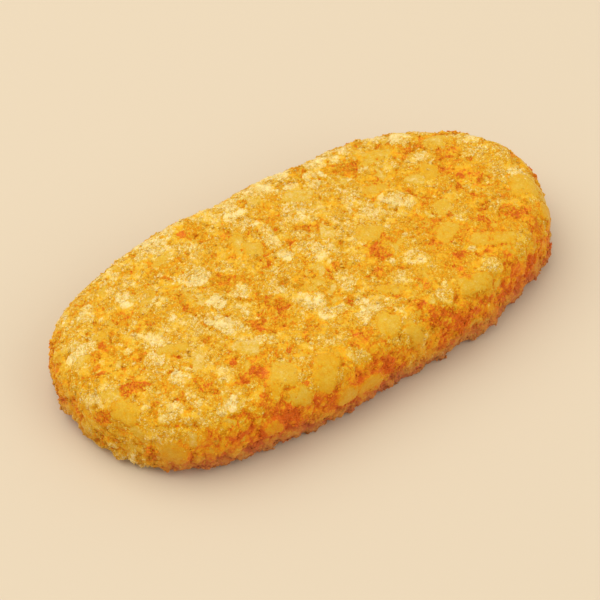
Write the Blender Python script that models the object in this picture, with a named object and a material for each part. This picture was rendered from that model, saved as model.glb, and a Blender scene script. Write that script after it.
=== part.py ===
"""Potato rosti: one oblong patty of pressed potato bits, fried golden on both faces.

The patty is modelled in metres, +Z up, with its origin under the middle of its base and its length along X.
A smooth blank carries a relief of flat potato bits that overlap like shingles, with crumbly crust between
them. Bits that reach the pan are pressed flat at Z = 0, and the patty rests on those flats.
"""

import math
import random
from collections import namedtuple

import bmesh
import bpy
import numpy as np
from mathutils import Vector, noise

MM = 0.001

# Driving dimensions of the blank
LENGTH = 115.0 * MM
WIDTH = 58.0 * MM
THICKNESS = 14.1 * MM
SQUARENESS = 2.69  # exponent of the outline: 2 is an ellipse, larger is squarer
TAPER = 0.032  # share by which the +X end is narrower than the middle
SHOULDER_RADIUS = 5.4 * MM  # rounding of the upper rim
HEEL_RADIUS = 3.2 * MM  # rounding of the lower rim
PAN_GAP = 0.12 * MM  # height of the blank's base over the pan, which only raised bits reach

# Potato bits
BIT_SPACING = 3.6 * MM
BIT_LENGTH = (4.0 * MM, 9.0 * MM)
BIT_WIDTH = (2.8 * MM, 4.8 * MM)
BIT_RISE = (-0.25 * MM, 0.32 * MM)  # height of a bit's flat top over the blank
BIT_SLOPE = 0.06  # steepest tilt of a bit's top, as rise over run
BIT_DEPTH = 1.6 * MM  # how fast a bit's edge falls into the crevice beside it
WALL_ROUGHNESS = 1.7  # how much deeper the relief is on the wall than on the faces
CRUST_DEPTH = 0.5 * MM  # level of the crust between the bits, below the blank
SEED = 41

# Uneven swelling of the whole patty, and crumbs in its crust
SWELL = 0.35 * MM
SWELL_WAVE = 19.0 * MM
CRUST_GRAIN = 0.14 * MM
CRUST_WAVE = 1.9 * MM

# Mesh sizes
OUTLINE_STEPS = 160
ARC_STEPS = 6
VOXEL = 0.62 * MM
FACES_KEPT = 11400
FLAT_SNAP = 0.02 * MM

Bit = namedtuple("Bit", "centre along across out half_length half_width rise pitch roll phase")

# Rise in mm of each kind of large bit
KIND_RISE = {"bare": 0.42, "frosted": 0.34, "crisp": 0.12, "proud": 0.85}

# The large bits that show best: place on the patty in mm, length, width, direction in degrees, kind.
# The blank's middle is the zero of all three places, and direction turns from +X as seen from above.
LARGE_BITS = (
    (35.5, -17.6, 9.0, 11.2, 4.8, -35, "bare"),  # long pale bar by the right end
    (51.0, -9.0, 9.0, 7.2, 6.8, -27, "bare"),
    (52.5, -17.5, 5.0, 5.6, 5.0, 20, "bare"),
    (30.5, -23.5, 7.5, 5.4, 4.2, -20, "frosted"),
    (24.0, -25.0, 7.0, 8.4, 4.8, -12, "bare"),
    (27.0, 4.0, 9.0, 8.8, 5.4, -60, "frosted"),
    (39.0, 18.7, 9.0, 5.6, 4.8, -44, "frosted"),
    (31.5, 13.4, 9.0, 5.4, 4.2, -85, "frosted"),
    (18.5, -12.0, 9.0, 6.2, 4.6, -37, "frosted"),
    (13.3, -15.5, 9.0, 5.8, 4.6, -50, "frosted"),
    (13.0, -28.0, 5.9, 5.8, 4.6, -50, "crisp"),
    (33.5, 6.6, 9.0, 4.6, 4.0, -46, "bare"),
    (2.7, 2.6, 9.0, 8.4, 6.2, -82, "frosted"),  # pale block in the middle
    (-6.3, -8.6, 9.0, 7.4, 4.8, -37, "frosted"),  # brightest bar
    (-2.5, 4.6, 9.0, 4.4, 3.4, -55, "frosted"),
    (-2.0, 11.0, 9.0, 9.6, 3.8, -100, "frosted"),
    (-6.8, 10.0, 9.0, 4.8, 4.8, -37, "bare"),
    (-17.4, 7.1, 9.0, 7.0, 4.2, 7, "crisp"),
    (-12.0, -6.2, 9.0, 7.0, 4.2, -85, "crisp"),
    (-19.0, -8.2, 9.0, 5.0, 3.8, -22, "crisp"),
    (-24.0, -5.1, 9.0, 6.8, 4.8, -74, "frosted"),
    (-22.0, 2.0, 9.0, 5.2, 3.8, -75, "frosted"),
    (-16.0, 1.5, 9.0, 5.2, 5.0, -66, "frosted"),
    (-24.8, -12.0, 9.0, 6.0, 4.4, -32, "bare"),
    (-3.3, -30.0, 4.2, 8.0, 4.6, -50, "crisp"),
    (9.0, -4.6, 9.0, 4.6, 3.8, -73, "frosted"),
    (15.5, -0.5, 9.0, 6.4, 5.2, -49, "bare"),
    (-23.0, -22.0, 9.0, 6.4, 6.2, -37, "bare"),  # smooth blocks on the near shoulder
    (-15.3, -26.1, 7.0, 8.4, 6.0, 52, "bare"),
    (2.2, -24.0, 8.5, 7.0, 5.0, 46, "bare"),
    (-6.8, -30.0, -0.3, 6.6, 6.0, 4, "bare"),  # blocks on the near wall
    (-12.5, -30.0, 0.5, 5.4, 5.0, -10, "bare"),
    (-30.4, -29.5, 1.4, 4.2, 4.0, 12, "proud"),  # small cube that stands out of the near wall
    (-31.5, -26.4, 6.2, 7.6, 4.8, -23, "crisp"),
    (-46.5, -16.6, 8.5, 5.6, 5.4, -37, "frosted"),
    (-49.8, -22.0, -0.2, 6.8, 5.8, -15, "bare"),
    (-32.2, -15.5, 9.0, 5.4, 4.8, 45, "frosted"),
    (-27.3, -20.0, 8.5, 6.6, 4.6, 50, "crisp"),
    (-41.0, -3.3, 9.0, 5.2, 4.4, 50, "frosted"),
    (-39.8, -10.5, 9.0, 4.8, 4.2, -54, "frosted"),
    (-45.0, 15.0, 9.0, 6.2, 4.2, 35, "frosted"),
    (-54.0, -11.0, 7.0, 6.0, 5.0, -57, "bare"),
    (41.5, 6.2, 9.0, 6.4, 6.0, -24, "crisp"),
    (44.3, -13.2, 9.0, 7.2, 5.6, -67, "crisp"),
    (0.0, 0.0, -12.0, 12.0, 9.0, 20, "proud"),  # broad bits that the patty rests on
    (31.0, 9.0, -12.0, 9.0, 7.0, 70, "bare"),
    (30.0, -12.0, -12.0, 9.0, 6.0, -20, "bare"),
    (-33.0, 10.0, -12.0, 9.0, 6.5, 10, "bare"),
    (-31.0, -11.0, -12.0, 8.0, 7.0, -60, "bare"),
)

# Lumps and dents of the edge: place in mm from the middle of the blank, reach and rise in mm
EDGE_LUMPS = (
    (-43.0, -23.5, 0.0, 7.0, 1.0),
    (-56.0, -12.0, 0.0, 5.0, -0.8),
    (57.0, 2.0, 4.0, 6.0, 0.8),
    (54.0, -14.0, 3.0, 5.0, -0.6),
    (48.0, 19.0, 4.0, 6.0, -0.5),
    (27.0, -27.0, -5.0, 3.5, 0.8),
    (48.0, -20.0, -5.0, 4.0, 0.6),
    (19.0, -28.0, -4.0, 3.0, -0.7),
    (0.0, -28.5, -4.0, 4.0, -0.5),
    (-24.0, -28.5, -4.0, 7.0, -0.5),
    (17.5, 27.5, 6.0, 3.0, -0.7),
    (-4.0, 28.0, 6.0, 3.0, -0.6),
)


def powered(value, exponent):
    """The value's size to a power, with its sign kept."""
    return math.copysign(abs(value) ** exponent, value)


def outline_point(turn, inset):
    """A point of the oblong outline, set in by inset. turn runs once round from 0 to 2 pi."""
    x = powered(math.cos(turn), 2 / SQUARENESS) * (LENGTH / 2 - inset)
    y = powered(math.sin(turn), 2 / SQUARENESS) * (WIDTH / 2 - inset)
    return x, y * (1 - TAPER * x / (LENGTH / 2))


def wall_profile():
    """(inset, height) up the wall, from the base round the heel and the shoulder to the upper face."""
    heel = [
        (HEEL_RADIUS * (1 - math.sin(a)), HEEL_RADIUS * (1 - math.cos(a)))
        for a in (math.pi / 2 * i / ARC_STEPS for i in range(ARC_STEPS + 1))
    ]
    shoulder = [
        (SHOULDER_RADIUS * (1 - math.cos(a)), THICKNESS - SHOULDER_RADIUS * (1 - math.sin(a)))
        for a in (math.pi / 2 * i / ARC_STEPS for i in range(ARC_STEPS + 1))
    ]
    return heel + shoulder


def make_blank():
    """The smooth patty without its relief, as one closed object."""
    shape = bmesh.new()
    rings = []
    for inset, height in wall_profile():
        turns = (2 * math.pi * i / OUTLINE_STEPS for i in range(OUTLINE_STEPS))
        ring = [shape.verts.new((*outline_point(t, inset), height + PAN_GAP)) for t in turns]
        rings.append(ring)
    for lower, upper in zip(rings, rings[1:]):
        for i in range(OUTLINE_STEPS):
            j = (i + 1) % OUTLINE_STEPS
            shape.faces.new((lower[i], lower[j], upper[j], upper[i]))
    shape.faces.new(reversed(rings[0]))
    shape.faces.new(rings[-1])
    mesh = bpy.data.meshes.new("blank")
    shape.to_mesh(mesh)
    shape.free()
    blank = bpy.data.objects.new("blank", mesh)
    bpy.context.scene.collection.objects.link(blank)
    return blank


def bit_at(blank, place, length, width, direction, rise, rng):
    """A bit that lies on the blank where it is nearest to place, pointing along direction as seen from above."""
    _, centre, out, _ = blank.closest_point_on_mesh(place)
    side_on = math.hypot(out.x, out.y)
    if abs(out.z) > 0.5:
        heading = Vector((math.cos(direction), math.sin(direction), 0))
    else:
        level = Vector((0, 0, 1)).cross(out).normalized()
        heading = level * math.cos(direction) + Vector((0, 0, 1)) * math.sin(direction)
    across = out.cross(heading).normalized()
    along = across.cross(out).normalized()
    depth = 1 + (WALL_ROUGHNESS - 1) * side_on
    return Bit(
        np.array(centre),
        np.array(along),
        np.array(across),
        np.array(out),
        length / 2,
        width / 2,
        rise * depth,
        rng.uniform(-BIT_SLOPE, BIT_SLOPE),
        rng.uniform(-BIT_SLOPE, BIT_SLOPE),
        rng.uniform(0, 2 * math.pi),
    )


def far_from(centre, bits, spacing):
    """Whether no bit's centre lies within spacing of this one."""
    return all((centre - bit.centre) @ (centre - bit.centre) >= spacing**2 for bit in bits)


def make_bits(blank, rng):
    """The named large bits, then random ones all over the blank until no more fit at their spacing."""
    middle = Vector((0, 0, PAN_GAP + THICKNESS / 2))
    bits = [
        bit_at(blank, Vector((x, y, z)) * MM + middle, length * MM, width * MM,
               math.radians(direction), KIND_RISE[kind] * MM, rng)
        for x, y, z, length, width, direction, kind in LARGE_BITS
    ]
    tries_left = 26000
    while tries_left:
        tries_left -= 1
        place = Vector((
            rng.uniform(-LENGTH / 2, LENGTH / 2),
            rng.uniform(-WIDTH / 2, WIDTH / 2),
            rng.choice((-THICKNESS, rng.uniform(0, THICKNESS), 2 * THICKNESS)),
        ))
        centre = np.array(blank.closest_point_on_mesh(place)[1])
        if not far_from(centre, bits, BIT_SPACING):
            continue
        bits.append(bit_at(
            blank, place, rng.uniform(*BIT_LENGTH), rng.uniform(*BIT_WIDTH),
            rng.uniform(0, math.pi), rng.uniform(*BIT_RISE), rng,
        ))
    return bits


def bit_height(bit, offsets):
    """Height of one bit's upper side over the blank, for points given as offsets from its centre."""
    u = offsets @ bit.along
    v = offsets @ bit.across
    angle = np.arctan2(v / bit.half_width, u / bit.half_length)
    wobble = 1 + 0.10 * np.sin(2 * angle + bit.phase) + 0.07 * np.sin(3 * angle + 2 * bit.phase)
    reach = ((u / bit.half_length) ** 4 + (v / bit.half_width) ** 4) ** 0.25 / wobble
    fall = np.clip((reach - 0.72) / 0.5, 0, None)
    return bit.rise + bit.pitch * u + bit.roll * v - BIT_DEPTH * fall**2


def relief(points, bits):
    """Height of the finished surface over the blank at each point."""
    height = np.full(len(points), -CRUST_DEPTH)
    for bit in bits:
        offsets = points - bit.centre
        reach = 1.5 * bit.half_length
        near = np.flatnonzero((offsets * offsets).sum(axis=1) < reach * reach)
        height[near] = np.maximum(height[near], bit_height(bit, offsets[near]))
    swell = np.array([noise.noise(Vector(p / SWELL_WAVE)) for p in points])
    grain = np.array([noise.noise(Vector(p / CRUST_WAVE)) for p in points])
    lumps = np.zeros(len(points))
    for x, y, z, reach, rise in EDGE_LUMPS:
        offsets = points / MM - (x, y, z + (PAN_GAP + THICKNESS / 2) / MM)
        lumps += rise * MM * np.exp(-(offsets * offsets).sum(axis=1) / reach**2)
    return height + lumps + SWELL * swell + CRUST_GRAIN * grain


def evaluated_mesh(obj):
    """A new mesh of the object with its modifiers applied."""
    graph = bpy.context.evaluated_depsgraph_get()
    return bpy.data.meshes.new_from_object(obj.evaluated_get(graph))


def vectors_of(items, name):
    """One vector attribute of mesh items, as rows of an array."""
    values = np.empty(3 * len(items), np.float32)
    items.foreach_get(name, values)
    return values.reshape(-1, 3).astype(float)


def place_points(mesh, points):
    """Gives the mesh these vertex positions."""
    mesh.vertices.foreach_set("co", points.astype(np.float32).ravel())
    mesh.update()


def make_skin(blank):
    """The blank's surface as an even, fine mesh."""
    remesh = blank.modifiers.new("Even skin", "REMESH")
    remesh.mode = "VOXEL"
    remesh.voxel_size = VOXEL
    mesh = evaluated_mesh(blank)
    mesh.name = "rosti"
    return mesh


def press_on_pan(points):
    """Points with what would reach below the pan pressed flat onto it."""
    pressed = points.copy()
    pressed[:, 2] = np.where(points[:, 2] < FLAT_SNAP, 0.0, points[:, 2])
    return pressed


def centred(points):
    """Points moved so that their box is centred on the Z axis."""
    middle = (points.min(axis=0) + points.max(axis=0)) / 2
    return points - np.array((middle[0], middle[1], 0.0))


def fried_potato():
    """The patty's plain golden finish."""
    material = bpy.data.materials.new("fried_potato")
    material.use_nodes = True
    shader = material.node_tree.nodes["Principled BSDF"]
    shader.inputs["Base Color"].default_value = (0.78, 0.37, 0.06, 1)
    shader.inputs["Roughness"].default_value = 0.55
    shader.inputs["Metallic"].default_value = 0.0
    return material


def make_rosti():
    """The finished patty."""
    rng = random.Random(SEED)
    blank = make_blank()
    bits = make_bits(blank, rng)
    mesh = make_skin(blank)
    bpy.data.objects.remove(blank)
    points = vectors_of(mesh.vertices, "co")
    normals = vectors_of(mesh.vertices, "normal")
    place_points(mesh, press_on_pan(points + normals * relief(points, bits)[:, None]))
    rosti = bpy.data.objects.new("rosti", mesh)
    bpy.context.scene.collection.objects.link(rosti)

    mesh.calc_loop_triangles()
    decimate = rosti.modifiers.new("Fewer faces", "DECIMATE")
    decimate.ratio = FACES_KEPT / len(mesh.loop_triangles)
    decimate.use_collapse_triangulate = True
    reduced = evaluated_mesh(rosti)
    rosti.modifiers.clear()
    place_points(reduced, centred(press_on_pan(vectors_of(reduced.vertices, "co"))))
    rosti.data = reduced
    reduced.name = "rosti"
    reduced.shade_smooth()
    reduced.materials.append(fried_potato())
    return rosti


def main():
    for old in list(bpy.data.objects):
        bpy.data.objects.remove(old)
    make_rosti()


main()
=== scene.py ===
"""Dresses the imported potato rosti: a fine skin of pressed potato bits, with flakes and crumbs on it.

Lengths are in metres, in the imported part's own frame: +X along the patty, +Z up, zero on the table.
The skin is made from the same mould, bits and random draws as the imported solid, on a finer mesh.
"""

import math
import random
from collections import namedtuple

import bmesh
import bpy
import numpy as np
from bpy.props import FloatProperty, FloatVectorProperty, IntProperty, PointerProperty
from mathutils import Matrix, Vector, noise
from mathutils.kdtree import KDTree


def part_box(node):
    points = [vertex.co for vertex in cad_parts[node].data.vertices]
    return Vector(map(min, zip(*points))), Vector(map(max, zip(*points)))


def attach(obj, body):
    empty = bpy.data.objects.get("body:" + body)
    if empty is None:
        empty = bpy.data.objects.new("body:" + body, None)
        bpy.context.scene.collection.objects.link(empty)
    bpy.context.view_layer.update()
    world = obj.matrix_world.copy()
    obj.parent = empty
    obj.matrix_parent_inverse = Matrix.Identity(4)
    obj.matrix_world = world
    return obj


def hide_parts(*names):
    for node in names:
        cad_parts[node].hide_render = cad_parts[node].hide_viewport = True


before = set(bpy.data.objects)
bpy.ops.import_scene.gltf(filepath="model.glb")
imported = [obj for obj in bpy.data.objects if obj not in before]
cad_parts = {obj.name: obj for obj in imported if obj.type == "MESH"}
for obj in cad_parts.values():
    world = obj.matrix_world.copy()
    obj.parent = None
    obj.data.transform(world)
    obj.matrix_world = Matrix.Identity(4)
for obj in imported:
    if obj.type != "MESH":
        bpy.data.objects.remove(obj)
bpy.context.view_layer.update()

bl_info = {
    "name": "Potato Rosti",
    "version": (1, 0, 0),
    "blender": (4, 5, 0),
    "location": "3D View > Sidebar > Rosti",
    "description": "Makes a fried potato rosti with its crust, flakes and crumbs, and a plain studio",
    "category": "Object",
}

MM = 0.001
NODE = "rosti"
BODY = "root"

# Mould of the patty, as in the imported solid
LENGTH = 115.0 * MM
WIDTH = 58.0 * MM
THICKNESS = 14.1 * MM
SQUARENESS = 2.69
TAPER = 0.032
SHOULDER_RADIUS = 5.4 * MM
HEEL_RADIUS = 3.2 * MM
PAN_GAP = 0.12 * MM
OUTLINE_STEPS = 160
ARC_STEPS = 6

# Potato bits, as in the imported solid
BIT_SPACING = 3.6 * MM
BIT_LENGTH = (4.0 * MM, 9.0 * MM)
BIT_WIDTH = (2.8 * MM, 4.8 * MM)
BIT_RISE = (-0.25 * MM, 0.32 * MM)
BIT_SLOPE = 0.06
BIT_DEPTH = 1.6 * MM
WALL_ROUGHNESS = 1.7
CRUST_DEPTH = 0.5 * MM
SEED = 41
SWELL = 0.35 * MM
SWELL_WAVE = 19.0 * MM
CRUST_GRAIN = 0.14 * MM
CRUST_WAVE = 1.9 * MM

# Small bits between the large ones, on the fine skin alone
SMALL_SPACING = 1.35 * MM
SMALL_LENGTH = (1.6 * MM, 3.6 * MM)
SMALL_WIDTH = (1.1 * MM, 2.2 * MM)
SMALL_RISE = (-0.08 * MM, 0.24 * MM)
SMALL_DEPTH = 0.45 * MM
MELT = 0.22 * MM
PAN_DIP = 0.25 * MM

# Random places tried for the large bits and for the small ones, and a value far beyond any on the patty
BIT_TRIES = 26000
SMALL_TRIES = 60000
FAR = 9.0

# A bit's outline: how much it wavers twice and three times round, where its top ends and its edge's width
BIT_WAVER = (0.10, 0.07)
BIT_TOP = 0.72
BIT_EDGE = 0.5

# Wavelengths of the fine skin's relief, and the most that its finest unevenness stands out
RIDGE_WAVE = 1.5 * MM
GRAIN_WAVE = 0.95 * MM
RAGGED_WAVES = (2.3 * MM, 1.1 * MM)
ROUGHNESS_LIMIT = 0.09 * MM

# Loose bits: their thickness for their length, the lowest place they stick to and their lowest point
FLAKE_STOUTNESS = 0.40
CRUMB_STOUTNESS = 0.75
LOOSE_FROM = 0.2 * MM
LOOSE_LOWEST = 0.02 * MM

# Corners and faces of a loose bit, and how raised its finish takes each corner to be: painted light at the
# top corner, painted shade at the foot
LOOSE_CORNERS = ((1, 0, 0), (-1, 0, 0), (0, 1, 0), (0, -1, 0), (0, 0, 1), (0, 0, -1))
LOOSE_FACES = ((0, 2, 4), (2, 1, 4), (1, 3, 4), (3, 0, 4), (2, 0, 5), (1, 2, 5), (3, 1, 5), (0, 3, 5))
LOOSE_PAINTED_LIGHT = (0.2, 0.2, 0.2, 0.2, 1.0, -0.6)

# The floor lies this much lower than the part, so that the two faces never coincide, and reaches this far
FLOOR_DROP = 0.03 * MM
FLOOR_REACH = 2.0

# Studio: the lamps' distance and widths, the fill light's share of the key's power, whites, and framing
LAMP_DISTANCE = 1.5
KEY_WIDTH = 1.7
FILL_WIDTH = 1.1
FILL_SHARE = 0.32
KEY_WHITE = (1.0, 0.98, 0.95)
ROOM_WHITE = (1.0, 0.97, 0.93)
CAMERA_SHIFT = (-0.015, -0.022)

Bit = namedtuple("Bit", "centre along across out half_length half_width rise pitch roll phase")

# Rise in mm of each kind of large bit
KIND_RISE = {"bare": 0.42, "frosted": 0.34, "crisp": 0.12, "proud": 0.85}

# The large bits that show best, and at the end those on the underside: place in mm from the middle of the
# blank, length and width in mm, direction in degrees, kind
LARGE_BITS = (
    (35.5, -17.6, 9.0, 11.2, 4.8, -35, "bare"),
    (51.0, -9.0, 9.0, 7.2, 6.8, -27, "bare"),
    (52.5, -17.5, 5.0, 5.6, 5.0, 20, "bare"),
    (30.5, -23.5, 7.5, 5.4, 4.2, -20, "frosted"),
    (24.0, -25.0, 7.0, 8.4, 4.8, -12, "bare"),
    (27.0, 4.0, 9.0, 8.8, 5.4, -60, "frosted"),
    (39.0, 18.7, 9.0, 5.6, 4.8, -44, "frosted"),
    (31.5, 13.4, 9.0, 5.4, 4.2, -85, "frosted"),
    (18.5, -12.0, 9.0, 6.2, 4.6, -37, "frosted"),
    (13.3, -15.5, 9.0, 5.8, 4.6, -50, "frosted"),
    (13.0, -28.0, 5.9, 5.8, 4.6, -50, "crisp"),
    (33.5, 6.6, 9.0, 4.6, 4.0, -46, "bare"),
    (2.7, 2.6, 9.0, 8.4, 6.2, -82, "frosted"),
    (-6.3, -8.6, 9.0, 7.4, 4.8, -37, "frosted"),
    (-2.5, 4.6, 9.0, 4.4, 3.4, -55, "frosted"),
    (-2.0, 11.0, 9.0, 9.6, 3.8, -100, "frosted"),
    (-6.8, 10.0, 9.0, 4.8, 4.8, -37, "bare"),
    (-17.4, 7.1, 9.0, 7.0, 4.2, 7, "crisp"),
    (-12.0, -6.2, 9.0, 7.0, 4.2, -85, "crisp"),
    (-19.0, -8.2, 9.0, 5.0, 3.8, -22, "crisp"),
    (-24.0, -5.1, 9.0, 6.8, 4.8, -74, "frosted"),
    (-22.0, 2.0, 9.0, 5.2, 3.8, -75, "frosted"),
    (-16.0, 1.5, 9.0, 5.2, 5.0, -66, "frosted"),
    (-24.8, -12.0, 9.0, 6.0, 4.4, -32, "bare"),
    (-3.3, -30.0, 4.2, 8.0, 4.6, -50, "crisp"),
    (9.0, -4.6, 9.0, 4.6, 3.8, -73, "frosted"),
    (15.5, -0.5, 9.0, 6.4, 5.2, -49, "bare"),
    (-23.0, -22.0, 9.0, 6.4, 6.2, -37, "bare"),
    (-15.3, -26.1, 7.0, 8.4, 6.0, 52, "bare"),
    (2.2, -24.0, 8.5, 7.0, 5.0, 46, "bare"),
    (-6.8, -30.0, -0.3, 6.6, 6.0, 4, "bare"),
    (-12.5, -30.0, 0.5, 5.4, 5.0, -10, "bare"),
    (-30.4, -29.5, 1.4, 4.2, 4.0, 12, "proud"),
    (-31.5, -26.4, 6.2, 7.6, 4.8, -23, "crisp"),
    (-46.5, -16.6, 8.5, 5.6, 5.4, -37, "frosted"),
    (-49.8, -22.0, -0.2, 6.8, 5.8, -15, "bare"),
    (-32.2, -15.5, 9.0, 5.4, 4.8, 45, "frosted"),
    (-27.3, -20.0, 8.5, 6.6, 4.6, 50, "crisp"),
    (-41.0, -3.3, 9.0, 5.2, 4.4, 50, "frosted"),
    (-39.8, -10.5, 9.0, 4.8, 4.2, -54, "frosted"),
    (-45.0, 15.0, 9.0, 6.2, 4.2, 35, "frosted"),
    (-54.0, -11.0, 7.0, 6.0, 5.0, -57, "bare"),
    (41.5, 6.2, 9.0, 6.4, 6.0, -24, "crisp"),
    (44.3, -13.2, 9.0, 7.2, 5.6, -67, "crisp"),
    (0.0, 0.0, -12.0, 12.0, 9.0, 20, "proud"),
    (31.0, 9.0, -12.0, 9.0, 7.0, 70, "bare"),
    (30.0, -12.0, -12.0, 9.0, 6.0, -20, "bare"),
    (-33.0, 10.0, -12.0, 9.0, 6.5, 10, "bare"),
    (-31.0, -11.0, -12.0, 8.0, 7.0, -60, "bare"),
)

# Lumps and dents of the edge: place in mm from the middle of the blank, reach and rise in mm
EDGE_LUMPS = (
    (-43.0, -23.5, 0.0, 7.0, 1.0),
    (-56.0, -12.0, 0.0, 5.0, -0.8),
    (57.0, 2.0, 4.0, 6.0, 0.8),
    (54.0, -14.0, 3.0, 5.0, -0.6),
    (48.0, 19.0, 4.0, 6.0, -0.5),
    (27.0, -27.0, -5.0, 3.5, 0.8),
    (48.0, -20.0, -5.0, 4.0, 0.6),
    (19.0, -28.0, -4.0, 3.0, -0.7),
    (0.0, -28.5, -4.0, 4.0, -0.5),
    (-24.0, -28.5, -4.0, 7.0, -0.5),
    (17.5, 27.5, 6.0, 3.0, -0.7),
    (-4.0, 28.0, 6.0, 3.0, -0.6),
)

# Where the crust fried darker than around it, or less where the last number is below zero; the paler spots
# along the far upper edge are painted light instead, standing for the light from behind: place in mm from the
# middle of the blank, reach in mm, amount
FRIED_AND_LIT_PATCHES = (
    (-29.0, -27.0, -2.0, 7.0, 1.0),
    (-2.0, -29.0, -6.0, 7.0, 0.9),
    (13.0, -28.0, -3.0, 7.0, 0.9),
    (30.0, -27.0, -6.0, 8.0, 0.8),
    (38.0, -25.0, -2.0, 7.0, 0.7),
    (-43.0, -24.0, -6.0, 7.0, 0.7),
    (-15.0, -29.0, -10.0, 7.0, 0.8),
    (46.0, -17.0, 4.0, 6.0, 0.6),
    (41.0, 5.0, 7.0, 6.5, 1.0),
    (21.0, 14.0, 7.0, 6.0, -0.1),
    (-46.0, 1.0, 7.0, 5.0, 0.7),
    (-12.0, -6.0, 7.0, 5.0, 0.8),
    (-13.0, 10.0, 7.0, 6.5, 0.7),
    (-14.0, 23.0, 7.0, 6.0, 0.5),
    (-56.0, -5.0, -4.0, 7.0, -0.7),
    (-54.0, -13.0, -5.0, 7.0, -0.9),
    (5.0, -21.0, 7.0, 6.0, -0.3),
    (-45.0, -16.0, 7.0, 6.0, -0.6),
    (54.0, -7.0, 6.0, 5.0, -0.8),
    (-17.0, -21.0, 6.0, 6.0, 0.8),
    (16.0, 5.0, 7.0, 7.0, -1.4),
    (27.0, 4.0, 7.0, 5.0, -0.7),
    (-5.0, -11.0, 7.0, 5.0, -0.7),
    (-38.0, -3.0, 7.0, 6.0, -1.4),
    (-27.0, -24.0, 3.0, 7.0, 1.2),
    (18.0, -16.0, 7.0, 7.0, 0.9),
    # Painted light: these paler spots along the far upper edge stand for the light from behind
    (-38.0, 22.0, 5.0, 7.0, -1.2),
    (-24.0, 26.0, 6.0, 7.0, -1.6),
    (-8.0, 28.0, 6.0, 7.0, -1.6),
    (8.0, 28.0, 6.0, 7.0, -1.6),
    (24.0, 27.0, 6.0, 7.0, -1.2),
    (39.0, 23.0, 5.0, 7.0, -1.0),
    (32.0, -22.0, 6.0, 8.0, 0.9),
    (41.0, -16.0, 6.0, 6.0, 0.9),
    (-6.0, -25.0, 5.0, 5.0, 1.2),
    (-4.0, 3.0, 7.0, 7.0, -1.2),
    (13.0, 20.0, 7.0, 5.0, -0.7),
    (38.0, -8.0, 7.0, 5.0, -0.8),
    (32.0, 14.0, 7.0, 6.0, 0.8),
    (-46.0, -6.0, 7.0, 5.0, -0.9),
    (-47.0, 12.0, 6.0, 6.0, -0.9),
    (-34.0, -18.0, 7.0, 5.0, -0.6),
    (-24.0, -1.0, 7.0, 5.0, -0.6),
    (14.0, 26.0, 7.0, 8.0, -1.3),
)
FRIED_AND_LIT_LIMIT = 1.6

# How often each kind of bit turns up on a face and on the wall
FACE_KINDS = {"bare": 0.24, "frosted": 0.30, "crisp": 0.10, "golden": 0.36}
WALL_KINDS = {"bare": 0.40, "frosted": 0.04, "crisp": 0.32, "golden": 0.24}
SMALL_KINDS = {"bare": 0.06, "frosted": 0.07, "crisp": 0.10, "golden": 0.77}

# What the finish reads at each point of a mesh
CRUST_MARKS = ("bare", "frosted", "crisp", "tone", "hollow", "seam", "core", "fried", "wall", "low", "raised")

# Names of the shader groups that both crusts use
THREADS = "Starch threads"
EDGE = "Ragged edge"


# Settings


class RostiSkin(bpy.types.PropertyGroup):
    """Sizes of the patty's fine skin."""

    cell: FloatProperty(
        name="Mesh cell", description="Size of the skin's mesh cells", default=0.42 * MM, unit="LENGTH"
    )
    grain: FloatProperty(
        name="Crust grain", description="Height of the crumbly grain of the crust",
        default=0.08 * MM, unit="LENGTH",
    )
    crackle: FloatProperty(
        name="Crackle", description="Height of the ridges where the crust fried crisp",
        default=0.26 * MM, unit="LENGTH",
    )
    ragged: FloatProperty(
        name="Ragged wall", description="Height of the unevenness of the wall's crust",
        default=0.46 * MM, unit="LENGTH",
    )
    roughness: FloatProperty(
        name="Surface roughness", description="Height of the finest unevenness of the crust",
        default=0.035 * MM, unit="LENGTH",
    )


class RostiLooseBits(bpy.types.PropertyGroup):
    """Loose bits of crust that stick to the patty."""

    flakes: IntProperty(name="Flakes", description="Number of thin flakes", default=24000, min=0)
    flake: FloatProperty(name="Flake", description="Length of a flake", default=0.62 * MM, unit="LENGTH")
    crumbs: IntProperty(name="Crumbs", description="Number of coarse crumbs", default=7000, min=0)
    crumb: FloatProperty(name="Crumb", description="Length of a crumb", default=0.95 * MM, unit="LENGTH")


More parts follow.
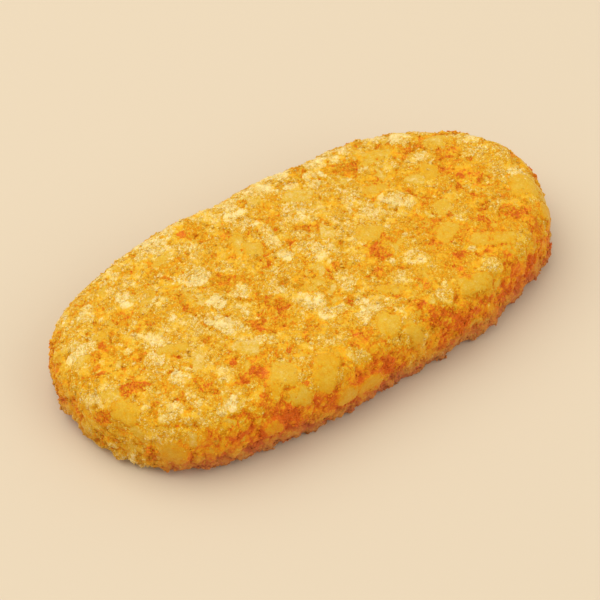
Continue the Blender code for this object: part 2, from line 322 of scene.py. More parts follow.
class RostiColours(bpy.types.PropertyGroup):
    """Colours of the fried potato, from the darkest crust to the palest, and of its wall."""

    crisp: FloatVectorProperty(
        name="Crisp crust", description="Crust that is fried crisp", subtype="COLOR",
        default=(0.74, 0.17, 0.018), size=3, min=0, max=1,
    )
    amber: FloatVectorProperty(
        name="Amber crust", description="Crust that is fried darker", subtype="COLOR",
        default=(0.83, 0.32, 0.015), size=3, min=0, max=1,
    )
    golden: FloatVectorProperty(
        name="Golden crust", description="Crust that is lightly fried", subtype="COLOR",
        default=(0.825, 0.44, 0.014), size=3, min=0, max=1,
    )
    pale: FloatVectorProperty(
        name="Pale potato", description="Smooth potato with little crust", subtype="COLOR",
        default=(0.81, 0.52, 0.056), size=3, min=0, max=1,
    )
    frosted: FloatVectorProperty(
        name="Frosted crust", description="Pale, starchy crust on the raised bits", subtype="COLOR",
        default=(0.91, 0.73, 0.33), size=3, min=0, max=1,
    )
    bare: FloatVectorProperty(
        name="Bare tint", description="What the colours of bare potato are multiplied by", subtype="COLOR",
        default=(0.85, 0.84, 0.84), size=3, min=0, max=1,
    )
    # Painted shade: this tint darkens the colours between the starch threads, standing for the shade in those
    # gaps
    gap: FloatVectorProperty(
        name="Painted gap shade", description="What the colours between the threads are multiplied by",
        subtype="COLOR", default=(0.85, 0.67, 0.27), size=3, min=0, max=1,
    )
    wall: FloatVectorProperty(
        name="Wall tint", description="What the colours of the wall are multiplied by", subtype="COLOR",
        default=(1.0, 0.87, 1.0), size=3, min=0, max=1,
    )
    brown: FloatVectorProperty(
        name="Brown crust", description="The darkest crust, low on the wall", subtype="COLOR",
        default=(0.46, 0.155, 0.075), size=3, min=0, max=1,
    )


class RostiStudio(bpy.types.PropertyGroup):
    """Camera, lights and floor."""

    azimuth: FloatProperty(
        name="Azimuth", description="Camera's turn round the patty", subtype="ANGLE",
        default=math.radians(-37.2),
    )
    elevation: FloatProperty(
        name="Elevation", description="Camera's angle above the table", subtype="ANGLE",
        default=math.radians(45.0),
    )
    distance: FloatProperty(
        name="Distance", description="Camera's distance from the patty's middle",
        default=523.0 * MM, unit="LENGTH",
    )
    lens: FloatProperty(name="Lens", description="Focal length in mm", default=149.9)
    key_power: FloatProperty(name="Key light", description="Power of the soft key light in W", default=15.4)
    sky: FloatProperty(name="Room light", description="Strength of the light from all round", default=0.765)
    floor: FloatVectorProperty(
        name="Floor", description="Colour of the plain floor", subtype="COLOR",
        default=(0.668, 0.562, 0.412), size=3, min=0, max=1,
    )


# The patty's mould and its bits


def powered(value, exponent):
    """The value's size to a power, with its sign kept."""
    return math.copysign(abs(value) ** exponent, value)


def outline_point(turn, inset):
    """A point of the oblong outline, set in by inset. turn runs once round from 0 to 2 pi."""
    x = powered(math.cos(turn), 2 / SQUARENESS) * (LENGTH / 2 - inset)
    y = powered(math.sin(turn), 2 / SQUARENESS) * (WIDTH / 2 - inset)
    return x, y * (1 - TAPER * x / (LENGTH / 2))


def wall_profile():
    """(inset, height) up the wall, from the base round the heel and the shoulder to the upper face."""
    quarter = [math.pi / 2 * i / ARC_STEPS for i in range(ARC_STEPS + 1)]
    heel = [(HEEL_RADIUS * (1 - math.sin(a)), HEEL_RADIUS * (1 - math.cos(a))) for a in quarter]
    shoulder = [
        (SHOULDER_RADIUS * (1 - math.cos(a)), THICKNESS - SHOULDER_RADIUS * (1 - math.sin(a)))
        for a in quarter
    ]
    return heel + shoulder


def make_blank():
    """The smooth patty without its relief, as one closed object."""
    shape = bmesh.new()
    rings = []
    for inset, height in wall_profile():
        turns = (2 * math.pi * i / OUTLINE_STEPS for i in range(OUTLINE_STEPS))
        rings.append([shape.verts.new((*outline_point(t, inset), height + PAN_GAP)) for t in turns])
    for lower, upper in zip(rings, rings[1:]):
        for i in range(OUTLINE_STEPS):
            j = (i + 1) % OUTLINE_STEPS
            shape.faces.new((lower[i], lower[j], upper[j], upper[i]))
    shape.faces.new(reversed(rings[0]))
    shape.faces.new(rings[-1])
    mesh = bpy.data.meshes.new("blank")
    shape.to_mesh(mesh)
    shape.free()
    blank = bpy.data.objects.new("blank", mesh)
    bpy.context.scene.collection.objects.link(blank)
    return blank


def bit_at(blank, place, length, width, direction, rise, rng):
    """A bit that lies on the blank nearest to place, pointing along direction as seen from above."""
    _, centre, out, _ = blank.closest_point_on_mesh(place)
    side_on = math.hypot(out.x, out.y)
    if abs(out.z) > 0.5:
        heading = Vector((math.cos(direction), math.sin(direction), 0))
    else:
        level = Vector((0, 0, 1)).cross(out).normalized()
        heading = level * math.cos(direction) + Vector((0, 0, 1)) * math.sin(direction)
    across = out.cross(heading).normalized()
    along = across.cross(out).normalized()
    depth = 1 + (WALL_ROUGHNESS - 1) * side_on
    return Bit(
        np.array(centre),
        np.array(along),
        np.array(across),
        np.array(out),
        length / 2,
        width / 2,
        rise * depth,
        rng.uniform(-BIT_SLOPE, BIT_SLOPE),
        rng.uniform(-BIT_SLOPE, BIT_SLOPE),
        rng.uniform(0, 2 * math.pi),
    )


def random_place(rng):
    """A random place below, beside or above the patty."""
    return Vector((
        rng.uniform(-LENGTH / 2, LENGTH / 2),
        rng.uniform(-WIDTH / 2, WIDTH / 2),
        rng.choice((-THICKNESS, rng.uniform(0, THICKNESS), 2 * THICKNESS)),
    ))


def make_bits(blank, rng):
    """The large bits, then random ones all over the blank until no more fit at their spacing."""
    middle = Vector((0, 0, PAN_GAP + THICKNESS / 2))
    bits = [
        bit_at(blank, Vector((x, y, z)) * MM + middle, length * MM, width * MM,
               math.radians(direction), KIND_RISE[kind] * MM, rng)
        for x, y, z, length, width, direction, kind in LARGE_BITS
    ]
    centres = np.full((len(bits) + BIT_TRIES, 3), FAR)
    centres[: len(bits)] = [bit.centre for bit in bits]
    for _ in range(BIT_TRIES):
        place = random_place(rng)
        centre = np.array(blank.closest_point_on_mesh(place)[1])
        offsets = centres[: len(bits)] - centre
        if (offsets * offsets).sum(axis=1).min() < BIT_SPACING**2:
            continue
        centres[len(bits)] = centre
        bits.append(bit_at(
            blank, place, rng.uniform(*BIT_LENGTH), rng.uniform(*BIT_WIDTH),
            rng.uniform(0, math.pi), rng.uniform(*BIT_RISE), rng,
        ))
    return bits


def spread(points, spacing):
    """The numbers of those points, first come first kept, that lie at least spacing apart."""
    tree = KDTree(len(points))
    for number, point in enumerate(points):
        tree.insert(point, number)
    tree.balance()
    free = [True] * len(points)
    kept = []
    for number, point in enumerate(points):
        if free[number]:
            kept.append(number)
            for _, other, _ in tree.find_range(point, spacing):
                free[other] = False
    return kept


def make_small_bits(blank, rng):
    """Small bits all over the blank, to fill the gaps between the large ones."""
    places = [random_place(rng) for _ in range(SMALL_TRIES)]
    centres = [blank.closest_point_on_mesh(place)[1] for place in places]
    bits = []
    for number in spread(centres, SMALL_SPACING):
        dip = PAN_DIP if places[number].z < 0 else 0
        bits.append(bit_at(
            blank, places[number], rng.uniform(*SMALL_LENGTH), rng.uniform(*SMALL_WIDTH),
            rng.uniform(0, math.pi), rng.uniform(*SMALL_RISE) - dip, rng,
        ))
    return bits


def kinds_of(bits, small_bits):
    """The kind of crust on each bit: the large bits' own, and a random one on every other."""
    rng = random.Random(SEED + 1)
    kinds = [large[-1] for large in LARGE_BITS]
    for bit in bits[len(kinds):]:
        shares = FACE_KINDS if abs(bit.out[2]) > 0.7 else WALL_KINDS
        kinds += rng.choices(list(shares), shares.values())
    return kinds + rng.choices(list(SMALL_KINDS), SMALL_KINDS.values(), k=len(small_bits))


def bit_height(bit, offsets, depth):
    """(height over the blank, how far out in the bit) for points given as offsets from its centre."""
    u = offsets @ bit.along
    v = offsets @ bit.across
    angle = np.arctan2(v / bit.half_width, u / bit.half_length)
    twice, thrice = BIT_WAVER
    waver = 1 + twice * np.sin(2 * angle + bit.phase) + thrice * np.sin(3 * angle + 2 * bit.phase)
    reach = ((u / bit.half_length) ** 4 + (v / bit.half_width) ** 4) ** 0.25 / waver
    fall = np.clip((reach - BIT_TOP) / BIT_EDGE, 0, None)
    return bit.rise + bit.pitch * u + bit.roll * v - depth * fall**2, reach


def noise_at(points, wave, shift=0.0):
    """Smooth noise from -1 to 1 with that wavelength at each point. Another shift gives another pattern."""
    return np.array([noise.noise(Vector(p)) for p in points / wave + shift])


def smooth_step(low, high, values):
    """0 below low, 1 above high and a smooth rise between them."""
    share = np.clip((values - low) / (high - low), 0, 1)
    return share * share * (3 - 2 * share)


def crust_heights(points, bits, small_bits):
    """(height over the blank, number of the bit on top or -1, how far out in that bit) at each point."""
    height = np.full(len(points), -CRUST_DEPTH)
    owner = np.full(len(points), -1)
    reach = np.full(len(points), FAR)
    tree = KDTree(len(points))
    for number, point in enumerate(points):
        tree.insert(point, number)
    tree.balance()
    for number, bit in enumerate(bits + small_bits):
        depth = BIT_DEPTH if number < len(bits) else SMALL_DEPTH
        near = np.array([found[1] for found in tree.find_range(bit.centre, 1.5 * bit.half_length)], int)
        rise, out = bit_height(bit, points[near] - bit.centre, depth)
        below = height[near]
        higher = rise > below
        on_top = near[higher]
        melted = np.clip(MELT - np.abs(rise - below), 0, None) ** 2 / (4 * MELT)
        height[near] = np.maximum(rise, below) + melted
        owner[on_top] = number
        reach[on_top] = out[higher]
    return height, owner, reach


def spots(points, places):
    """The sum of soft round spots at each point. places gives each spot as x, y, z, reach and amount."""
    total = np.zeros(len(points))
    for x, y, z, reach, amount in places:
        offsets = points / MM - (x, y, z + (PAN_GAP + THICKNESS / 2) / MM)
        total += amount * np.exp(-(offsets * offsets).sum(axis=1) / reach**2)
    return total


def uneven_edge(points):
    """The broad swelling, lumps and dents of the patty at each point."""
    swell = SWELL * noise_at(points, SWELL_WAVE) + CRUST_GRAIN * noise_at(points, CRUST_WAVE)
    return MM * spots(points, EDGE_LUMPS) + swell


def crust_marks(kinds, points, normals, height, owner, reach):
    """What the finish reads at each point of the skin, by name.

    fried runs from -FRIED_AND_LIT_LIMIT to FRIED_AND_LIT_LIMIT, and the others from 0 to 1.
    """
    kind = np.array(kinds + ["golden"])[owner]
    upright = normals[:, 2]
    shoulder = smooth_step(0.30, 0.95, 1 - upright)
    heel = 1 - smooth_step(0.80, 0.98, -upright)
    inside = 1 - smooth_step(0.66, 1.06, reach)
    tones = np.random.default_rng(SEED + 2).uniform(0, 1, len(kinds) + 1)
    return {
        "bare": inside * ((kind == "bare") | (kind == "proud")),
        "frosted": inside * (kind == "frosted"),
        "crisp": inside * (kind == "crisp"),
        "tone": tones[owner],
        "hollow": 1 - smooth_step(-0.48 * MM, 0.02 * MM, height),
        "seam": smooth_step(0.78, 1.0, reach),
        "core": 1 - np.clip(reach, 0, 1),
        # Partly painted light: below zero along the far upper edge, where the crust is made paler to stand
        # for the light from behind
        "fried": np.clip(spots(points, FRIED_AND_LIT_PATCHES), -FRIED_AND_LIT_LIMIT, FRIED_AND_LIT_LIMIT),
        "wall": np.where(upright > 0, shoulder, heel),
        "low": 1 - smooth_step(0.08, 0.55, points[:, 2] / THICKNESS),
    }


# Mesh helpers


def vectors_of(items, name):
    """One vector attribute of mesh items, as rows of an array."""
    values = np.empty(3 * len(items), np.float32)
    items.foreach_get(name, values)
    return values.reshape(-1, 3).astype(float)


def evaluated_mesh(obj):
    """A new mesh of the object with its modifiers applied."""
    graph = bpy.context.evaluated_depsgraph_get()
    return bpy.data.meshes.new_from_object(obj.evaluated_get(graph))


def place_points(mesh, points):
    """Gives the mesh these vertex positions."""
    mesh.vertices.foreach_set("co", points.astype(np.float32).ravel())
    mesh.update()


def write_marks(mesh, marks):
    """Keeps each named value per vertex on the mesh, for its material to read."""
    for name, values in marks.items():
        attribute = mesh.attributes.new(name, "FLOAT", "POINT")
        attribute.data.foreach_set("value", np.asarray(values, np.float32))


def read_mark(mesh, name):
    """A named value per vertex from the mesh."""
    values = np.empty(len(mesh.vertices), np.float32)
    mesh.attributes[name].data.foreach_get("value", values)
    return values


def mesh_from(name, points, faces):
    """A mesh of these points and faces, all faces with the same number of corners."""
    mesh = bpy.data.meshes.new(name)
    mesh.from_pydata(points.tolist(), [], faces.tolist())
    return mesh


def add_piece(name, mesh, material):
    """Shows the mesh as a piece of the patty, with this finish."""
    mesh.name = name
    mesh.materials.clear()
    mesh.materials.append(material)
    piece = bpy.data.objects.new(name, mesh)
    bpy.context.scene.collection.objects.link(piece)
    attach(piece, BODY)
    return piece


# Shader helpers


def add_node(tree, kind, inputs=None, **settings):
    """Adds a node. inputs gives its sockets, by name or number, a value or another node's output."""
    node = tree.nodes.new(kind)
    for name, value in settings.items():
        setattr(node, name, value)
    for name, value in (inputs or {}).items():
        if isinstance(value, bpy.types.NodeSocket):
            tree.links.new(value, node.inputs[name])
        else:
            node.inputs[name].default_value = value
    return node


def maths(tree, operation, first, second):
    """The result of a Math node."""
    return add_node(tree, "ShaderNodeMath", {0: first, 1: second}, operation=operation).outputs[0]


def mixed(tree, factor, first, second, blend="MIX"):
    """The colour of a Mix node. A plain colour is given as three numbers."""
    first, second = (c if isinstance(c, bpy.types.NodeSocket) else (*c, 1) for c in (first, second))
    return add_node(
        tree, "ShaderNodeMix", {0: factor, 6: first, 7: second}, data_type="RGBA", blend_type=blend
    ).outputs[2]


def ramped(tree, value, low, high, start=0.0, end=1.0):
    """value brought smoothly from low..high to start..end."""
    inputs = {"Value": value, "From Min": low, "From Max": high, "To Min": start, "To Max": end}
    return add_node(tree, "ShaderNodeMapRange", inputs, interpolation_type="SMOOTHSTEP").outputs[0]


def noise_of(tree, coordinates, size, detail=2.0, roughness=0.6):
    """A Noise node's value, with blobs of about that size in metres."""
    inputs = {"Vector": coordinates, "Scale": 1 / size, "Detail": detail, "Roughness": roughness}
    return add_node(tree, "ShaderNodeTexNoise", inputs).outputs["Fac"]


def new_group(name, inputs, outputs):
    """(group, its inputs, its Group Output node) of a new shader group.

    inputs and outputs map the names of its sockets to their types.
    """
    group = bpy.data.node_groups.new(name, "ShaderNodeTree")
    for socket, kind in inputs.items():
        group.interface.new_socket(socket, in_out="INPUT", socket_type=kind)
    for socket, kind in outputs.items():
        group.interface.new_socket(socket, in_out="OUTPUT", socket_type=kind)
    return group, group.nodes.new("NodeGroupInput").outputs, group.nodes.new("NodeGroupOutput")


def use_group(tree, group, inputs):
    """Places a group in a tree and gives back its outputs."""
    return add_node(tree, "ShaderNodeGroup", inputs, node_tree=group).outputs


def scaled_place(tree, given):
    """A group's Coordinates, counted in its Size."""
    inputs = {0: given["Coordinates"], 3: maths(tree, "DIVIDE", 1.0, given["Size"])}
    return add_node(tree, "ShaderNodeVectorMath", inputs, operation="SCALE").outputs[0]


def starch_threads_group():
    """Fine curly threads and grains of fried starch: values for their tone, their shade and their height."""
    group, given, result = new_group(
        THREADS,
        {"Coordinates": "NodeSocketVector", "Size": "NodeSocketFloat"},
        {"Tone": "NodeSocketFloat", "Shade": "NodeSocketFloat", "Height": "NodeSocketFloat"},
    )

    def blend(first, first_share, second, second_share):
        shares = maths(group, "MULTIPLY", first, first_share), maths(group, "MULTIPLY", second, second_share)
        return maths(group, "ADD", *shares)

    scaled = scaled_place(group, given)
    curls = add_node(
        group, "ShaderNodeTexNoise",
        {"Vector": scaled, "Scale": 0.5, "Detail": 1.0, "Roughness": 0.5, "Distortion": 1.2},
    ).outputs["Fac"]
    off_line = maths(group, "ABSOLUTE", maths(group, "SUBTRACT", curls, 0.5), 0.0)
    threads = ramped(group, off_line, 0.09, 0.01)
    cells = add_node(group, "ShaderNodeTexVoronoi", {"Vector": scaled, "Scale": 0.9})
    grains = add_node(group, "ShaderNodeSeparateColor", {"Color": cells.outputs["Color"]}).outputs
    round_tops = maths(group, "SUBTRACT", 1.0, cells.outputs["Distance"])
    height = blend(blend(threads, 0.6, round_tops, 0.8), 1.0, grains["Red"], 0.4)
    group.links.new(blend(threads, 0.5, grains["Red"], 0.5), result.inputs["Tone"])
    group.links.new(blend(threads, 0.4, grains["Green"], 0.6), result.inputs["Shade"])
    group.links.new(height, result.inputs["Height"])
    return group


def ragged_edge_group():
    """A mask whose edge is made ragged."""
    group, given, result = new_group(
        EDGE,
        {"Mask": "NodeSocketFloat", "Coordinates": "NodeSocketVector",
         "Size": "NodeSocketFloat", "Amount": "NodeSocketFloat", "Softness": "NodeSocketFloat"},
        {"Mask": "NodeSocketFloat"},
    )
    push = maths(group, "SUBTRACT", noise_of(group, scaled_place(group, given), 1.0, 3.0, 0.65), 0.5)
    pushed = maths(group, "ADD", given["Mask"], maths(group, "MULTIPLY", push, given["Amount"]))
    low = maths(group, "SUBTRACT", 0.5, given["Softness"])
    high = maths(group, "ADD", 0.5, given["Softness"])
    group.links.new(ramped(group, pushed, low, high), result.inputs["Mask"])
    return group


def read_attribute(tree, name):
    """A value that the mesh keeps per vertex."""
    return add_node(tree, "ShaderNodeAttribute", attribute_name=name).outputs["Fac"]


def new_material(name):
    """(material, its node tree, its Principled BSDF node)."""
    material = bpy.data.materials.new(name)
    material.use_nodes = True
    tree = material.node_tree
    return material, tree, tree.nodes["Principled BSDF"]


def crust_material(name, scatter, colours, threads_group, edge_group):
    """Fried potato crust, with scatter as the share of light that goes into it.

    One value, how pale the crust is, runs from crisp through golden to frosted.
    """
    material, tree, shader = new_material(name)
    place = add_node(tree, "ShaderNodeTexCoord").outputs["Object"]

    def ragged(mark, size, amount, softness):
        inputs = {
            "Mask": read_attribute(tree, mark), "Coordinates": place,
            "Size": size, "Amount": amount, "Softness": softness,
        }
        return use_group(tree, edge_group, inputs)["Mask"]

    def times(first, second):
        return maths(tree, "MULTIPLY", first, second)

    def less(first, second):
        return maths(tree, "SUBTRACT", first, second)

    def total(start, *parts):
        for part in parts:
            start = maths(tree, "ADD", start, part)
        return start

    def centred(value, amount):
        return times(less(value, 0.5), amount)

    starch = use_group(tree, threads_group, {"Coordinates": place, "Size": 0.30 * MM})
    tone, wall, fried, low, core, seam, hollow, raised = (
        read_attribute(tree, mark)
        for mark in ("tone", "wall", "fried", "low", "core", "seam", "hollow", "raised")
    )
    broad = noise_of(tree, place, 11.0 * MM, 1.0, 0.5)
    blotches = noise_of(tree, place, 5.5 * MM, 2.0, 0.5)
    clumps = noise_of(tree, place, 1.7 * MM, 3.0, 0.65)
    flecks = noise_of(tree, place, 0.75 * MM, 2.0, 0.6)

    # The kinds of crust on the bits, and where the crust is rubbed or fried smooth
    frosted = times(ragged("frosted", 1.8 * MM, 1.2, 0.48), ramped(tree, clumps, 0.66, 0.42, 0.4, 1.0))
    crisp = times(ragged("crisp", 1.2 * MM, 1.6, 0.40), ramped(tree, flecks, 0.35, 0.55, 0.5, 1.0))
    bare = times(ragged("bare", 1.5 * MM, 1.0, 0.45), ramped(tree, clumps, 0.32, 0.50, 0.4, 0.92))
    rubbed = ramped(tree, noise_of(tree, place, 2.6 * MM, 2.0, 0.5), 0.50, 0.61, 0.0, 0.75)
    rubbed = times(rubbed, less(1.0, times(wall, low)))
    fried_smooth = times(times(wall, less(1.0, low)), 0.55)
    smooth = maths(tree, "MAXIMUM", maths(tree, "MAXIMUM", bare, rubbed), fried_smooth)
    crusted = less(1.0, smooth)

    # Thin browned lines where a broad noise crosses its middle
    swirl = maths(tree, "ABSOLUTE", less(noise_of(tree, place, 5.0 * MM, 2.5, 0.5), 0.5), 0.0)
    wisps = times(ramped(tree, swirl, 0.004, 0.022, 1.0, 0.0), ramped(tree, blotches, 0.56, 0.46, 0.0, 1.0))

    # How pale the crust is, how pale bare potato is, and the fine variation on both
    crust = total(
        0.61,
        times(wall, -0.17),
        centred(broad, 0.6),
        centred(blotches, 0.54),
        centred(clumps, 0.28),
        centred(tone, 0.14),
        # Darker where the crust fried more, paler where the mark is below zero, which along the far upper
        # edge is painted light
        times(fried, -0.20),
        times(times(frosted, less(1.0, times(wall, 0.7))), 0.29),
        times(crisp, -0.40),
        times(seam, -0.20),
        # Painted shade: the crust is made darker in the hollows between the bits
        times(hollow, -0.16),
        times(wisps, -0.26),
    )
    soft = total(
        0.60,
        times(wall, -0.08),
        centred(tone, 0.22),
        centred(clumps, 0.7),
        # Painted glow: bare potato is made paler in the middle of each bit, standing for light shining
        # through it
        times(core, 0.12),
        times(fried, -0.08),
        times(wisps, -0.16),
    )
    # The raised mark adds painted light and shade: paler where the fine relief stands up, darker in its pits
    fine = total(centred(starch["Tone"], 0.44), centred(flecks, 0.40), times(raised, 0.20))
    fine = times(fine, ramped(tree, crusted, 0.0, 1.0, 0.30, 1.0))
    paleness = total(times(crust, less(1.0, bare)), times(soft, bare), fine)

    ramp = add_node(tree, "ShaderNodeValToRGB", {"Fac": paleness})
    stops = (
        (0.0, colours.crisp),
        (0.22, colours.amber),
        (0.44, colours.golden),
        (0.70, colours.pale),
        (1.0, colours.frosted),
    )
    while len(ramp.color_ramp.elements) < len(stops):
        ramp.color_ramp.elements.new(1.0)
    for element, (position, shade) in zip(ramp.color_ramp.elements, stops):
        element.position = position
        element.color = (*shade, 1)
    colour = mixed(tree, bare, ramp.outputs["Color"], colours.bare, "MULTIPLY")
    # Painted shade between the threads: the colour is darkened there by the gap tint, less on the palest
    # crust
    gaps = times(ramped(tree, starch["Shade"], 0.85, 0.15), ramped(tree, crusted, 0.0, 1.0, 0.4, 1.0))
    gaps = times(gaps, ramped(tree, paleness, 0.60, 1.0, 1.0, 0.55))
    colour = mixed(tree, gaps, colour, colours.gap, "MULTIPLY")
    # The wall tint is less where the fried mark is below zero, which along the far upper edge is painted
    # light
    wall_tint = times(wall, ramped(tree, fried, -0.8, 0.2, 0.0, 0.7))
    colour = mixed(tree, wall_tint, colour, colours.wall, "MULTIPLY")
    browned = times(times(wall, low), ramped(tree, fried, -1.0, 0.8, 0.12, 0.70))
    colour = mixed(tree, browned, colour, colours.brown)
    tree.links.new(colour, shader.inputs["Base Color"])

    tree.links.new(ramped(tree, crusted, 0.0, 1.0, 0.42, 0.60), shader.inputs["Roughness"])
    height = times(starch["Height"], ramped(tree, crusted, 0.0, 1.0, 0.2, 1.0))
    bump = add_node(tree, "ShaderNodeBump", {"Strength": 1.0, "Distance": 0.09 * MM, "Height": height})
    tree.links.new(bump.outputs["Normal"], shader.inputs["Normal"])
    shader.inputs["Subsurface Weight"].default_value = scatter
    shader.inputs["Subsurface Radius"].default_value = (1.0, 0.60, 0.25)
    shader.inputs["Subsurface Scale"].default_value = 0.4 * MM
    shader.inputs["Specular IOR Level"].default_value = 0.20
    shader.inputs["Specular Tint"].default_value = (1.0, 0.72, 0.15, 1)
    return material


def patty_mesh():
    """The patty's skin on a fine mesh, with the values that its finish reads."""
    sizes = bpy.context.scene.rosti_skin
    blank = make_blank()
    bits = make_bits(blank, random.Random(SEED))
    small_bits = make_small_bits(blank, random.Random(SEED + 3))
    remesh = blank.modifiers.new("Even skin", "REMESH")
    remesh.mode = "VOXEL"
    remesh.voxel_size = sizes.cell
    mesh = evaluated_mesh(blank)
    bpy.data.objects.remove(blank)

    points = vectors_of(mesh.vertices, "co")
    normals = vectors_of(mesh.vertices, "normal")
    height, owner, reach = crust_heights(points, bits, small_bits)
    marks = crust_marks(kinds_of(bits, small_bits), points, normals, height, owner, reach)
    marks["bare"] *= 1 - 0.85 * marks["low"] * marks["wall"]
    crusted = 1 - 0.88 * marks["bare"]
    ridges = 0.4 - np.abs(noise_at(points, RIDGE_WAVE, 5.0)) * 2.2
    jitter = np.random.default_rng(SEED).normal(0, sizes.roughness, len(points))
    fine = sizes.grain * noise_at(points, GRAIN_WAVE, 3.0) * crusted
    crackled = np.maximum(marks["crisp"], np.maximum(0.35 * marks["hollow"], 0.5 * marks["wall"]) * crusted)
    fine += sizes.crackle * ridges * crackled
    fine += np.clip(jitter, -ROUGHNESS_LIMIT, ROUGHNESS_LIMIT) * crusted
    ragged = noise_at(points, RAGGED_WAVES[0], 7.0) + 0.8 * noise_at(points, RAGGED_WAVES[1], 9.0)
    fine += sizes.ragged * ragged * marks["wall"] * (1 + 0.8 * marks["low"]) * crusted
    # How raised the fine relief is; the finish paints the crust paler where it stands up and darker in its
    # pits, as painted light and shade
    marks["raised"] = np.clip(fine / sizes.grain, -1, 1)
    points += normals * (height + uneven_edge(points) + fine)[:, None]
    points[:, 2] = np.maximum(points[:, 2], 0)

    # The skin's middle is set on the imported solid's
    low, high = points.min(axis=0), points.max(axis=0)
    node_low, node_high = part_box(NODE)
    shift = (np.array(node_low + node_high) - low - high) / 2
    points += (shift[0], shift[1], 0)
    place_points(mesh, points)
    write_marks(mesh, marks)
    mesh.shade_smooth()
    return mesh


def face_weights(mesh, wanted):
    """(corner numbers, weight) of each triangle, weighted by its area and by wanted per vertex."""
    mesh.calc_loop_triangles()
    corners = np.empty(3 * len(mesh.loop_triangles), np.int32)
    mesh.loop_triangles.foreach_get("vertices", corners)
    corners = corners.reshape(-1, 3)
    points = vectors_of(mesh.vertices, "co")
    sides = points[corners]
    areas = np.linalg.norm(np.cross(sides[:, 1] - sides[:, 0], sides[:, 2] - sides[:, 0]), axis=1) / 2
    return corners, areas * wanted[corners].mean(axis=1)


def scattered(mesh, wanted, count, rng):
    """(places, normals, corner numbers, shares) of random points, denser where wanted is higher."""
    corners, weights = face_weights(mesh, wanted)
    chosen = corners[rng.choice(len(corners), count, p=weights / weights.sum())]
    shares = rng.dirichlet((1, 1, 1), count)
    points = vectors_of(mesh.vertices, "co")
    normals = vectors_of(mesh.vertices, "normal")
    places = (points[chosen] * shares[..., None]).sum(axis=1)
    outs = (normals[chosen] * shares[..., None]).sum(axis=1)
    return places, outs / np.linalg.norm(outs, axis=1)[:, None], chosen, shares


def loose_bits_mesh(name, skin, wanted, count, length, stoutness, rng):
    """Angular bits of crust that lie on the skin, sunk in a little.

    They keep the skin's marks, varied by chance.
    """
    places, outs, chosen, shares = scattered(skin, wanted, count, rng)
    along = np.cross(outs, rng.normal(size=(count, 3)))
    along /= np.linalg.norm(along, axis=1)[:, None]
    along += outs * rng.uniform(-0.45, 0.45, (count, 1))
    across = np.cross(outs, along)
    axes = np.stack((along, across, outs), axis=1)
    tips = len(LOOSE_CORNERS)
    size = length * (0.45 + 1.3 * rng.beta(1.3, 3.4, count))
    stretch = np.stack((size, size * rng.uniform(0.8, 1.3, count) * stoutness,
                        size * rng.uniform(0.8, 1.2, count) * stoutness * 0.8), axis=1) / 2
    shapes = np.array(LOOSE_CORNERS, float) * rng.uniform(0.6, 1.2, (count, tips, 1))
    shapes += 0.12 * rng.normal(size=(count, tips, 3))
    shapes = np.einsum("nij,njk->nik", shapes * stretch[:, None, :], axes)
    lift = stretch[:, 2:] * (0.1 + 0.5 * rng.beta(0.6, 2.0, (count, 1)))
    points = shapes + (places + outs * lift)[:, None, :]
    points[..., 2] = np.maximum(points[..., 2], LOOSE_LOWEST)
    every_face = np.array(LOOSE_FACES)[None] + tips * np.arange(count)[:, None, None]
    mesh = mesh_from(name, points.reshape(-1, 3), every_face.reshape(-1, 3))
    marks = {mark: (read_mark(skin, mark)[chosen] * shares).sum(axis=1) for mark in CRUST_MARKS}
    marks["bare"] *= 0.3
    marks["tone"] = rng.uniform(-0.4, 1.6, count)
    marks = {mark: np.repeat(values, tips) for mark, values in marks.items()}
    # Painted light and shade: each loose bit is paler at its top corner and darker at its foot
    marks["raised"] = np.tile(LOOSE_PAINTED_LIGHT, count)
    write_marks(mesh, marks)
    return mesh


# Operators


class ROSTI_OT_patty(bpy.types.Operator):
    """Make the patty's skin of pressed, fried potato bits"""

    bl_idname = "rosti.patty"
    bl_label = "Patty"

    def execute(self, context):
        groups = starch_threads_group(), ragged_edge_group()
        crust = crust_material("Fried crust", 0.45, context.scene.rosti_colours, *groups)
        patty = add_piece("patty", patty_mesh(), crust)
        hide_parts(NODE)
        return {"FINISHED"}


class ROSTI_OT_loose_bits(bpy.types.Operator):
    """Stick flakes and crumbs to the patty's crust"""

    bl_idname = "rosti.loose_bits"
    bl_label = "Loose bits"

    def execute(self, context):
        sizes = context.scene.rosti_loose_bits
        skin = bpy.data.objects["patty"].data
        groups = bpy.data.node_groups[THREADS], bpy.data.node_groups[EDGE]
        material = crust_material("Loose crust", 0.0, context.scene.rosti_colours, *groups)
        bare, crisp, hollow, wall = (read_mark(skin, name) for name in ("bare", "crisp", "hollow", "wall"))
        clear = vectors_of(skin.vertices, "co")[:, 2] > LOOSE_FROM
        rng = np.random.default_rng(SEED + 5)

        # Flakes lie mostly on the faces, and crumbs mostly on the wall
        on_faces = (0.6 + 0.6 * crisp + 0.5 * hollow) * (1 - 0.95 * bare) * (1 - 0.75 * wall) * clear
        flakes = loose_bits_mesh("flakes", skin, on_faces, sizes.flakes, sizes.flake, FLAKE_STOUTNESS, rng)
        add_piece("flakes", flakes, material)
        on_wall = (0.15 + 0.6 * crisp + 0.9 * hollow) * (1 - 0.95 * bare) * (0.25 + 0.75 * wall) * clear
        crumbs = loose_bits_mesh("crumbs", skin, on_wall, sizes.crumbs, sizes.crumb, CRUMB_STOUTNESS, rng)
        add_piece("crumbs", crumbs, material)
        return {"FINISHED"}


def aim(obj, place, target):
    """Puts a light or camera at place, looking at target."""
    obj.location = place
    obj.rotation_euler = (target - place).to_track_quat("-Z", "Y").to_euler()


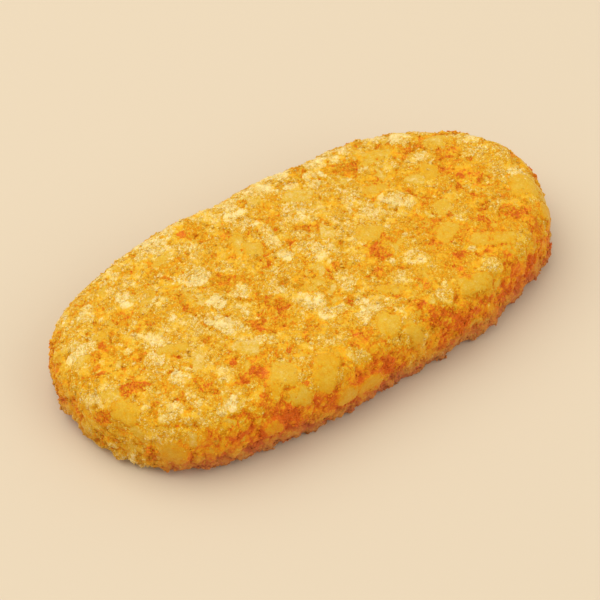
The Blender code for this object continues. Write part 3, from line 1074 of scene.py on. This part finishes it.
def add_lamp(name, place, target, power, width, colour):
    """A square soft light."""
    lamp = bpy.data.lights.new(name, "AREA")
    lamp.energy = power
    lamp.size = width
    lamp.color = colour
    holder = bpy.data.objects.new(name, lamp)
    bpy.context.scene.collection.objects.link(holder)
    aim(holder, place, target)


class ROSTI_OT_studio(bpy.types.Operator):
    """Set up the plain floor, the soft lights and the camera"""

    bl_idname = "rosti.studio"
    bl_label = "Studio"

    def execute(self, context):
        scene = context.scene
        studio = scene.rosti_studio
        middle = Vector((0, 0, THICKNESS / 2))
        camera = bpy.data.objects.new("camera", bpy.data.cameras.new("camera"))
        scene.collection.objects.link(camera)
        turn, rise = studio.azimuth, studio.elevation
        back = Vector((math.sin(turn) * math.cos(rise), -math.cos(turn) * math.cos(rise), math.sin(rise)))
        aim(camera, middle + back * studio.distance, middle)
        camera.data.lens = studio.lens
        camera.data.clip_start = 0.01
        camera.data.shift_x, camera.data.shift_y = CAMERA_SHIFT
        scene.camera = camera

        corners = np.array(((-1, -1), (1, -1), (1, 1), (-1, 1))) * FLOOR_REACH
        floor_points = np.column_stack((corners, np.full(4, -FLOOR_DROP)))
        floor_mesh = mesh_from("floor", floor_points, np.array(((0, 1, 2, 3),)))
        material, _, shader = new_material("Plain floor")
        shader.inputs["Base Color"].default_value = (*studio.floor, 1)
        shader.inputs["Roughness"].default_value = 0.9
        shader.inputs["Specular IOR Level"].default_value = 0.1
        floor_mesh.materials.append(material)
        floor = bpy.data.objects.new("floor", floor_mesh)
        scene.collection.objects.link(floor)

        up = Vector((0, 0, 1))
        right = camera.rotation_euler.to_quaternion() @ Vector((1, 0, 0))
        away = up.cross(right)
        key = middle + (up * 0.85 - right * 0.48 + away * 0.20) * LAMP_DISTANCE
        add_lamp("key", key, middle, studio.key_power, KEY_WIDTH, KEY_WHITE)
        fill = middle + (up * 0.6 + right * 0.7 - away * 0.4) * LAMP_DISTANCE
        add_lamp("fill", fill, middle, studio.key_power * FILL_SHARE, FILL_WIDTH, ROOM_WHITE)

        world = bpy.data.worlds.new("room")
        world.use_nodes = True
        background = world.node_tree.nodes["Background"]
        background.inputs["Color"].default_value = (*ROOM_WHITE, 1)
        background.inputs["Strength"].default_value = studio.sky
        scene.world = world
        scene.view_settings.view_transform = "Standard"
        return {"FINISHED"}


class ROSTI_PT_panel(bpy.types.Panel):
    """The rosti's pieces, in the order in which they are made"""

    bl_label = "Rosti"
    bl_idname = "ROSTI_PT_panel"
    bl_space_type = "VIEW_3D"
    bl_region_type = "UI"
    bl_category = "Rosti"

    def draw(self, context):
        for operator in OPERATORS:
            self.layout.operator(operator.bl_idname)


SETTINGS = {
    "rosti_skin": RostiSkin,
    "rosti_loose_bits": RostiLooseBits,
    "rosti_colours": RostiColours,
    "rosti_studio": RostiStudio,
}
OPERATORS = (ROSTI_OT_studio, ROSTI_OT_patty, ROSTI_OT_loose_bits)


def register():
    """Adds the settings, the operators and the panel."""
    for name, group in SETTINGS.items():
        bpy.utils.register_class(group)
        setattr(bpy.types.Scene, name, PointerProperty(type=group))
    for operator in OPERATORS:
        bpy.utils.register_class(operator)
    bpy.utils.register_class(ROSTI_PT_panel)


def unregister():
    """Takes the panel, the operators and the settings out again."""
    bpy.utils.unregister_class(ROSTI_PT_panel)
    for operator in reversed(OPERATORS):
        bpy.utils.unregister_class(operator)
    for name, group in reversed(SETTINGS.items()):
        delattr(bpy.types.Scene, name)
        bpy.utils.unregister_class(group)


def main():
    """Makes the studio and the rosti."""
    register()
    bpy.ops.rosti.studio()
    bpy.ops.rosti.patty()
    bpy.ops.rosti.loose_bits()


if __name__ == "__main__":
    main()
